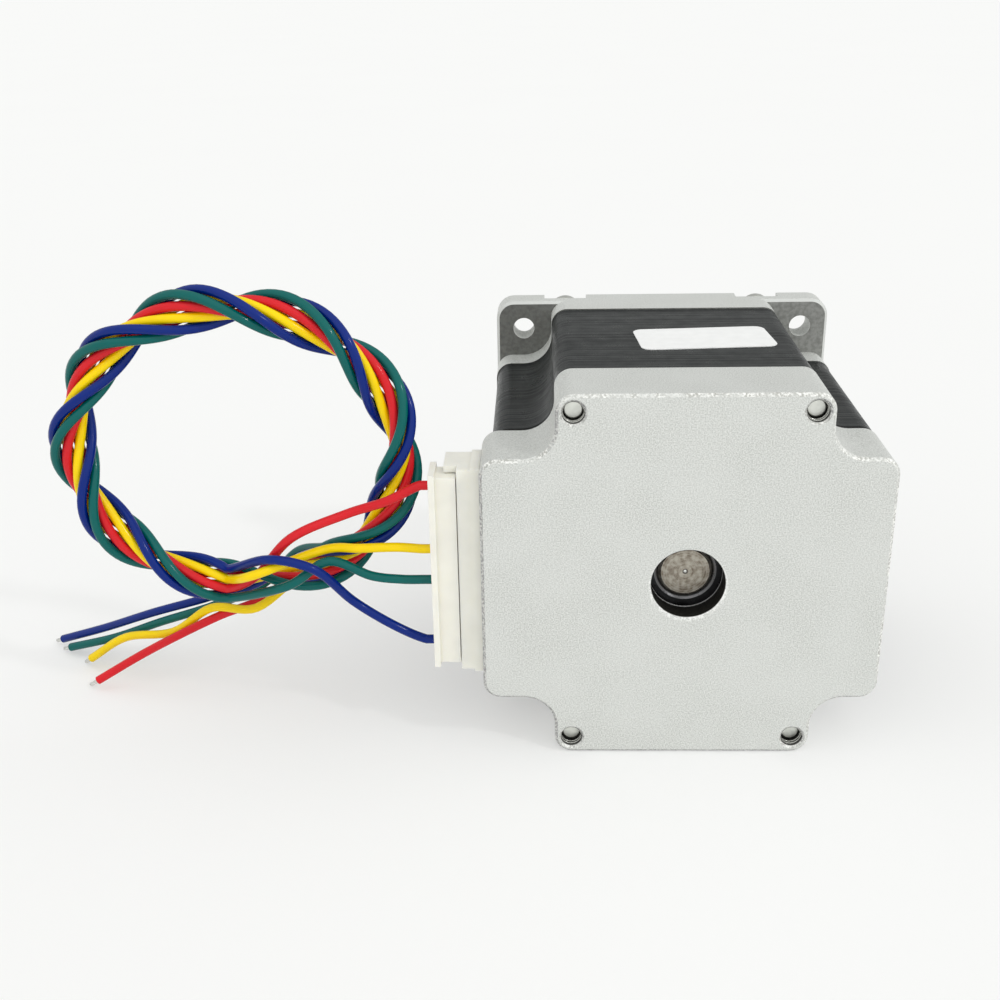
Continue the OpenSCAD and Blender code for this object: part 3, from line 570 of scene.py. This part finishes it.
# The band of painted shadow on the last sheets next to the cap.
CAP_SHADOW_W, CAP_SHADOW_BLUR = 0.9, 0.15
CAP_SHADOW_Y = edge("stator_core", 0, 1) + CAP_SHADOW_W
SHEET_DARK, SHEET_LIGHT = (0.009, 0.011, 0.011), (0.026, 0.03, 0.029)
SEAM_BLACK, CAP_SHADOW_BLACK = (0.005, 0.005, 0.006), (0.001, 0.001, 0.001)
STACK_BLACK = (0.03, 0.032, 0.034)
SHEET_DULL, SHEET_BRIGHT, SEAM_DULL = 0.14, 0.38, 0.06


def mix_values(material, mask, first, second):
    """One number where the mask is 0 and another where it is 1, both numbers or links."""
    node = material.node_tree.nodes.new("ShaderNodeMix")
    material.node_tree.links.new(mask, node.inputs["Factor"])
    for slot, value in ((2, first), (3, second)):
        if isinstance(value, bpy.types.NodeSocket):
            material.node_tree.links.new(value, node.inputs[slot])
        else:
            node.inputs[slot].default_value = value
    return node.outputs["Result"]


def make_laminations():
    black = finish("black_laminations", STACK_BLACK, 0.3, Specular_IOR_Level=0.24)
    tree = black.node_tree
    sheets = along(black, "Y", (1, 1 / SHEET_T, 1))
    chance = tree.nodes.new("ShaderNodeTexWhiteNoise")
    chance.noise_dimensions = "1D"
    tree.links.new(step(black, "FLOOR", sheets), chance.inputs["W"])
    luck = chance.outputs["Value"]
    on_sheet = remap(black, step(black, "FRACT", sheets), 0, SEAM_SHARE)
    # Painted shadow of the cap's edge on the last sheets.
    in_cap_shadow = remap(black, along(black, "Y"), CAP_SHADOW_Y - CAP_SHADOW_BLUR, CAP_SHADOW_Y, 1, 0)
    sheet = blend(black, on_sheet, SEAM_BLACK, blend(black, luck, SHEET_DARK, SHEET_LIGHT))
    blend(black, in_cap_shadow, sheet, CAP_SHADOW_BLACK)
    shine = remap(black, luck, 0, 1, SHEET_DULL, SHEET_BRIGHT)
    shine = mix_values(black, on_sheet, SEAM_DULL, shine)
    shine = mix_values(black, in_cap_shadow, shine, SEAM_DULL)
    tree.links.new(shine, shader_of(black).inputs["Specular IOR Level"])
    gloss(black, grain(black, 2.5), 0.26, 0.4)
    height = step(black, "MULTIPLY", on_sheet, remap(black, luck, 0, 1, 0.6, 1.0))
    relief(black, height, 0.06, 0.7)
    return black


nodes["stator_core"].data.materials[0] = make_laminations()
stack_length = edge("stator_core", 1, 1) - edge("stator_core", 0, 1)
print("sheets in the stack:", round(stack_length / SHEET_T))

# %% [markdown]
# The header and the plug are nylon, which lets some light in. Subsurface scattering gives its
# milky look. It is kept short, because the walls are only a millimetre thick.

# %% Nylon
NYLON_DEPTH = (0.0016, 0.0015, 0.0012)


def make_nylon(name, colour):
    nylon = finish(name, colour, 0.42, Subsurface_Weight=0.4, Subsurface_Radius=NYLON_DEPTH,
                   Subsurface_Scale=1.0)
    blend(nylon, remap(nylon, grain(nylon, 3.0)), shade(colour, 0.95), colour)
    gloss(nylon, grain(nylon, 0.8), 0.36, 0.5)
    relief(nylon, grain(nylon, 0.25), 0.01, 0.5)
    return nylon


header_nylon = make_nylon("header_nylon", (0.84, 0.825, 0.75))
for name in ("header_housing", "front_bobbin", "rear_bobbin"):
    nodes[name].data.materials[0] = header_nylon
nodes["plug_housing"].data.materials[0] = make_nylon("plug_nylon", (0.86, 0.84, 0.76))
print("nylon done")

# %% [markdown]
# The leads are covered in glossy PVC. A little waviness in the surface, as wide as the wire
# itself, breaks the highlight up as on the real thing.

# %% Lead insulation
LEAD_COLOURS = {
    "red": (0.69, 0.014, 0.022),
    "yellow": (0.96, 0.68, 0.0),
    "green": (0.0, 0.118, 0.108),
    "blue": (0.0, 0.018, 0.195),
}


def make_pvc(colour_name, colour):
    pvc = finish("pvc_" + colour_name, colour, 0.16, Specular_IOR_Level=0.22)
    cloud = grain(pvc, 4.0)
    blend(pvc, remap(pvc, cloud), shade(colour, 0.92), colour)
    gloss(pvc, grain(pvc, 1.4), 0.12, 0.2)
    relief(pvc, cloud, 0.03, 0.4)
    return pvc


for colour, lead in leads.items():
    lead.data.materials.append(make_pvc(colour, LEAD_COLOURS[colour]))
print("insulation done")

# %% [markdown]
# Bright metals differ in how they were made. Ground and polished steel is nearly clean, and zinc
# plate is cloudy. One helper makes them all, from the size and the contrast of their clouds.

# %% Bright metals
def make_metal(name, colour, roughness, cloud_size=1.2, contrast=0.12, depth=0.01):
    metal = finish(name, colour, roughness, metallic=1.0)
    blend(metal, remap(metal, grain(metal, cloud_size)), shade(colour, 1 - contrast), colour)
    gloss(metal, grain(metal, cloud_size / 3), 0.8 * roughness, 1.25 * roughness)
    relief(metal, grain(metal, cloud_size / 4), depth, 0.5)
    return metal


print("helper for bright metals ready")

# %% [markdown]
# Turned steel has rings round its axis. They come from noise that depends only on the distance from
# that axis. The rear end of the shaft shows in the bore of the cap: brown with old stains, and with
# a small drilled centre that is painted dark for the shade in it, with a painted highlight on its
# bottom.

# %% The shaft
STAINED_TO, CLEAN_FROM = -52, -50
CENTRE_R, CENTRE_FLOOR_R = 0.38, 0.2
# The stains are the shaft's own colour; the centre's highlight is painted.
STAIN_BROWN, CLEAN_STEEL, CENTRE_HIGHLIGHT = (0.19, 0.155, 0.12), (0.62, 0.61, 0.59), (1, 1, 0.98)


def make_turned(name, colour, roughness):
    metal = finish(name, colour, roughness, metallic=1.0)
    tree = metal.node_tree
    rings = tree.nodes.new("ShaderNodeTexNoise")
    rings.noise_dimensions = "1D"
    rings.inputs["Scale"].default_value = 5.0
    rings.inputs["Detail"].default_value = 3.0
    tree.links.new(axis_radius(metal), rings.inputs["W"])
    marks = rings.outputs["Fac"]
    stains = remap(metal, grain(metal, 0.8, detail=5.0), 0.38, 0.62)
    steel = blend(metal, stains, STAIN_BROWN, colour)
    forward = remap(metal, along(metal, "Y"), STAINED_TO, CLEAN_FROM)
    steel = blend(metal, forward, steel, CLEAN_STEEL)
    steel = blend(metal, remap(metal, marks, 0.42, 0.58, 0, 0.35), steel, shade(colour, 1.25))
    # Painted shade in the drilled centre, and a painted highlight on its bottom.
    in_centre = remap(metal, axis_radius(metal), CENTRE_R, CENTRE_R + 0.07, 1, 0)
    steel = blend(metal, in_centre, steel, shade(colour, 0.35))
    on_floor = remap(metal, axis_radius(metal), CENTRE_FLOOR_R, CENTRE_FLOOR_R + 0.06, 1, 0)
    blend(metal, on_floor, steel, CENTRE_HIGHLIGHT)
    gloss(metal, marks, 0.8 * roughness, 1.3 * roughness)
    relief(metal, marks, 0.02, 0.5)
    return metal


nodes["shaft"].data.materials[0] = make_turned("turned_steel", (0.46, 0.43, 0.37), 0.42)
print("shaft done, stained behind", STAINED_TO, "mm")

# %% [markdown]
# Two more metals show at the rear. The inner ring of the bearing is painted black for the shade it
# lies in, with a painted highlight on the edge of its bore. The tips of the screws are zinc plated,
# with a darker grey ring round the end of each.

# %% Ring in painted shade, and screws
RACE_EDGE_R = 4.32
BEVEL_R = 1.12
TIP_TO, SHANK_FROM = -50, -49
# Painted shade for the inner ring, and a painted highlight for the edge of its bore.
RACE_SHADE_DARK, RACE_SHADE, RACE_SHADE_LIGHT = (0.012, 0.012, 0.013), (0.02, 0.02, 0.021), (0.03, 0.03, 0.032)
RACE_EDGE_HIGHLIGHT, BEVEL_GREY = (0.25, 0.25, 0.26), (0.12, 0.12, 0.11)


def make_race():
    race = finish("shaded_race", RACE_SHADE, 0.3, metallic=0.6)
    shaded = blend(race, remap(race, grain(race, 1.5)), RACE_SHADE_DARK, RACE_SHADE_LIGHT)
    from_edge = distance_from(race, axis_radius(race), RACE_EDGE_R)
    # A painted highlight on the edge of the ring's bore.
    blend(race, remap(race, from_edge, 0.1, 0.2, 1, 0), shaded, RACE_EDGE_HIGHLIGHT)
    gloss(race, grain(race, 0.8), 0.25, 0.4)
    return race


def make_screws():
    zinc = make_metal("zinc_plate", (0.8, 0.81, 0.76), 0.36)
    plate = shader_of(zinc).inputs["Base Color"].links[0].from_socket
    # A darker grey ring round the end of each screw tip.
    bevel = remap(zinc, screw_radius(zinc), BEVEL_R, BEVEL_R + 0.08)
    tip = blend(zinc, bevel, plate, BEVEL_GREY)
    blend(zinc, remap(zinc, along(zinc, "Y"), TIP_TO, SHANK_FROM), tip, plate)
    return zinc


nodes["rear_bearing_inner"].data.materials[0] = make_race()
nodes["through_screws"].data.materials[0] = make_screws()
print("oiled ring and screws done")

# %% [markdown]
# The other metals need only the common helper, so a list of them is enough. A piece that is made
# of the same metal as another shares its material.

# %% The other metals
FINISHES = {
    "header_pins": make_metal("tinned_brass", (0.75, 0.75, 0.73), 0.25),
    "crimp_terminals": make_metal("tinned_contacts", (0.75, 0.75, 0.72), 0.28),
    "wave_washer": make_metal("spring_steel", (0.42, 0.43, 0.45), 0.3),
    "front_rotor_cup": make_metal("rotor_steel", (0.3, 0.3, 0.31), 0.38),
    "rotor_magnet": make_metal("sintered_magnet", (0.16, 0.16, 0.17), 0.55, 0.5, 0.3, 0.03),
    "front_bearing_outer": make_metal("bearing_steel", (0.6, 0.6, 0.61), 0.16),
    "front_bearing_balls": make_metal("polished_balls", (0.75, 0.75, 0.76), 0.06, 2.0, 0.04, 0.002),
    "front_bearing_cage": make_metal("pressed_brass", (0.66, 0.5, 0.24), 0.3),
    "front_bearing_shields": make_metal("shield_steel", (0.55, 0.55, 0.56), 0.25),
    # The rear shields are painted near black for the shade they lie in.
    "rear_bearing_shields": make_metal("shaded_shield", (0.012, 0.012, 0.012), 0.5),
}
SAME_AS = {
    "rear_rotor_cup": "front_rotor_cup",
    "rear_bearing_outer": "front_bearing_outer",
    "front_bearing_inner": "front_bearing_outer",
    "rear_bearing_balls": "front_bearing_balls",
    "rear_bearing_cage": "front_bearing_cage",
}
for name, metal in FINISHES.items():
    nodes[name].data.materials[0] = metal
for name, like in SAME_AS.items():
    nodes[name].data.materials[0] = FINISHES[like]
for conductor in conductors.values():
    conductor.data.materials.append(FINISHES["crimp_terminals"])
print("metals done:", len(FINISHES) + len(SAME_AS))

# %% [markdown]
# The four screws end a little below the rear face, so the thread of each hole shows above the
# tip. A bump texture would leave the edge of the hole a perfect circle. A thin wire wound to the
# pitch of the thread gives real ridges, which catch the light as threads do.

# %% Threads in the cap
THREAD_R, THREAD_PITCH, RIDGE_R = 1.56, 0.5, 0.12
REAR_FACE = edge("rear_cap", 0, 1)
RIDGE_DEEP, RIDGE_START, RIDGE_STEPS = 1.8, 0.9, 20


def thread_ridge(x, z):
    """A helix round one screw axis, from just inside the rear face to just behind the tip."""
    turns = RIDGE_DEEP / THREAD_PITCH - 1
    line = []
    for k in range(round(turns * RIDGE_STEPS) + 1):
        angle = math.tau * k / RIDGE_STEPS
        y = REAR_FACE + THREAD_PITCH * (RIDGE_START + k / RIDGE_STEPS)
        c, s = math.cos(angle), math.sin(angle)
        line.append(Vector((x + THREAD_R * c, y, z + THREAD_R * s)) * MM)
    return line


screw_axes = [(x, z) for x in (-SCREW_X, SCREW_X) for z in (-SCREW_Z, SCREW_Z)]
ridges = tube_mesh("thread_ridges", [thread_ridge(x, z) for x, z in screw_axes], RIDGE_R * MM)
ridges.data.materials.append(make_metal("bare_thread", (0.5, 0.5, 0.47), 0.25))
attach(ridges, "motor_frame")
print("thread ridges:", len(ridges.data.polygons), "faces")

# %% [markdown]
# Three finishes are left: enamelled copper on the windings, with the fine lines of the wire,
# the green board, and the white film of the label, which is left bare.

# %% Copper, board and label
COPPER_DARK, COPPER, COPPER_LIGHT = (0.38, 0.14, 0.05), (0.6, 0.25, 0.1), (0.66, 0.29, 0.12)
BOARD_DARK, BOARD, BOARD_LIGHT = (0.035, 0.16, 0.07), (0.05, 0.22, 0.1), (0.06, 0.25, 0.12)
FILM_GREY, FILM, FILM_WHITE = (0.87, 0.87, 0.865), (0.9, 0.9, 0.89), (0.92, 0.92, 0.915)


def make_copper():
    copper = finish("enamelled_copper", COPPER, 0.25, metallic=0.7, Coat_Weight=0.5)
    turns = grain(copper, 0.35, detail=0.0, stretch=(1, 0.05, 1))
    blend(copper, remap(copper, turns, 0.35, 0.65), COPPER_DARK, COPPER_LIGHT)
    relief(copper, turns, 0.12, 0.8)
    return copper


def make_board():
    board = finish("board", BOARD, 0.35)
    weave = grain(board, 0.7)
    blend(board, remap(board, weave), BOARD_DARK, BOARD_LIGHT)
    relief(board, weave, 0.02, 0.4)
    return board


def make_label():
    film = finish("label_film", FILM, 0.4)
    cloud = grain(film, 2.0)
    blend(film, remap(film, cloud), FILM_GREY, FILM_WHITE)
    gloss(film, grain(film, 0.9), 0.34, 0.46)
    relief(film, cloud, 0.02, 0.3)
    return film


nodes["stator_coils"].data.materials[0] = make_copper()
nodes["connection_board"].data.materials[0] = make_board()
nodes["rating_label"].data.materials[0] = make_label()
print("last finishes done")

# %% [markdown]
# ## Table and light
# The motor lies on one flat side on a white table. The table is a real surface that takes the
# soft shadow. Its colour, not more light, makes the background pale. It reaches far behind the
# motor, so that its edge lies above the picture. Its shadows would be darker than those in the
# photograph. More light would bleach the motor, so the camera is shown a share of plain backdrop
# colour in place of the table.

# %% The table
TABLE_Z = edge("front_flange", 0, 2)
TABLE_REACH = 60
TABLE_DARK, TABLE_LIGHT = (0.89, 0.89, 0.885), (0.905, 0.905, 0.90)
TABLE_WHITE = (0.92, 0.92, 0.92)
BACKDROP = (0.93, 0.93, 0.92, 1)
SHADOW_LIFT = 0.4


def soften(material):
    """Shows the camera a share of plain backdrop in place of the table and its shadows."""
    tree = material.node_tree
    plain = tree.nodes.new("ShaderNodeEmission")
    plain.inputs["Color"].default_value = BACKDROP
    rays = tree.nodes.new("ShaderNodeLightPath")
    mix = tree.nodes.new("ShaderNodeMixShader")
    share = step(material, "MULTIPLY", rays.outputs["Is Camera Ray"], SHADOW_LIFT)
    tree.links.new(share, mix.inputs[0])
    tree.links.new(shader_of(material).outputs[0], mix.inputs[1])
    tree.links.new(plain.outputs[0], mix.inputs[2])
    tree.links.new(mix.outputs[0], tree.nodes["Material Output"].inputs["Surface"])


def make_table():
    mesh = bpy.data.meshes.new("table")
    corners = [(x * TABLE_REACH, y * TABLE_REACH, 0)
               for x, y in ((-1, -1), (1, -1), (1, 1), (-1, 1))]
    mesh.from_pydata(corners, [], [(0, 1, 2, 3)])
    table = bpy.data.objects.new("table", mesh)
    table.location.z = TABLE_Z * MM
    bpy.context.scene.collection.objects.link(table)
    white = finish("table_white", TABLE_WHITE, 0.8, Specular_IOR_Level=0.0)
    blend(white, grain(white, 120.0), TABLE_DARK, TABLE_LIGHT)
    soften(white)
    table.data.materials.append(white)


make_table()
print("table at", round(TABLE_Z, 2), "mm")

# %% [markdown]
# A product photograph of this kind is lit by a white tent: light from everywhere, most of it from
# a window above and to the right of the camera, and some from a white card on the left. Area
# lamps would give that too, but with a hard edge in every reflection. Here the world itself grows
# brighter smoothly towards both. Camera rays see a plain white world, so the background doesn't
# depend on the light. A small sun lamp adds the sharp highlights.

# %% World and lamp
CARD_FROM = Vector((-0.85, -0.35, 0.42)).normalized()
SHADE_LIGHT, WINDOW_LIGHT, CARD_LIGHT = 0.465, 0.72, 0.52
TENT_WHITE = (0.99, 1, 0.99, 1)
SPARK_LIGHT, SPARK_WIDTH = 0.4, 4


def glow(world, direction, strength):
    """A broad patch of light on the world, brightest in one direction."""
    tree = world.node_tree
    where = tree.nodes.new("ShaderNodeTexCoord")
    towards = vector_step(world, "DOT_PRODUCT", where.outputs["Generated"], direction)
    grows = tree.nodes.new("ShaderNodeMapRange")
    grows.interpolation_type = "SMOOTHSTEP"
    grows.inputs["To Max"].default_value = strength
    tree.links.new(towards, grows.inputs["Value"])
    return grows.outputs["Result"]


def make_world():
    world = bpy.data.worlds.new("white_tent")
    world.use_nodes = True
    tree = world.node_tree
    tree.nodes.clear()
    window = glow(world, WINDOW_FROM, WINDOW_LIGHT)
    card = glow(world, CARD_FROM, CARD_LIGHT)
    level = step(world, "ADD", card, step(world, "ADD", window, SHADE_LIGHT))
    lit = tree.nodes.new("ShaderNodeBackground")
    lit.inputs["Color"].default_value = TENT_WHITE
    tree.links.new(level, lit.inputs["Strength"])
    shown = tree.nodes.new("ShaderNodeBackground")
    shown.inputs["Color"].default_value = BACKDROP
    rays = tree.nodes.new("ShaderNodeLightPath")
    camera_ray, through_ray = rays.outputs["Is Camera Ray"], rays.outputs["Is Transmission Ray"]
    seen = step(world, "MAXIMUM", camera_ray, through_ray)
    mix = tree.nodes.new("ShaderNodeMixShader")
    tree.links.new(seen, mix.inputs[0])
    tree.links.new(lit.outputs[0], mix.inputs[1])
    tree.links.new(shown.outputs[0], mix.inputs[2])
    out = tree.nodes.new("ShaderNodeOutputWorld")
    tree.links.new(mix.outputs[0], out.inputs["Surface"])
    bpy.context.scene.world = world


def make_lamp():
    data = bpy.data.lights.new("spark", "SUN")
    data.energy = SPARK_LIGHT
    data.angle = math.radians(SPARK_WIDTH)
    lamp = bpy.data.objects.new("spark", data)
    lamp.rotation_euler = WINDOW_FROM.to_track_quat("Z", "Y").to_euler()
    bpy.context.scene.collection.objects.link(lamp)


make_world()
make_lamp()
bpy.context.scene.view_settings.view_transform = "Standard"
print("light of the tent:", SHADE_LIGHT, "to", SHADE_LIGHT + WINDOW_LIGHT)
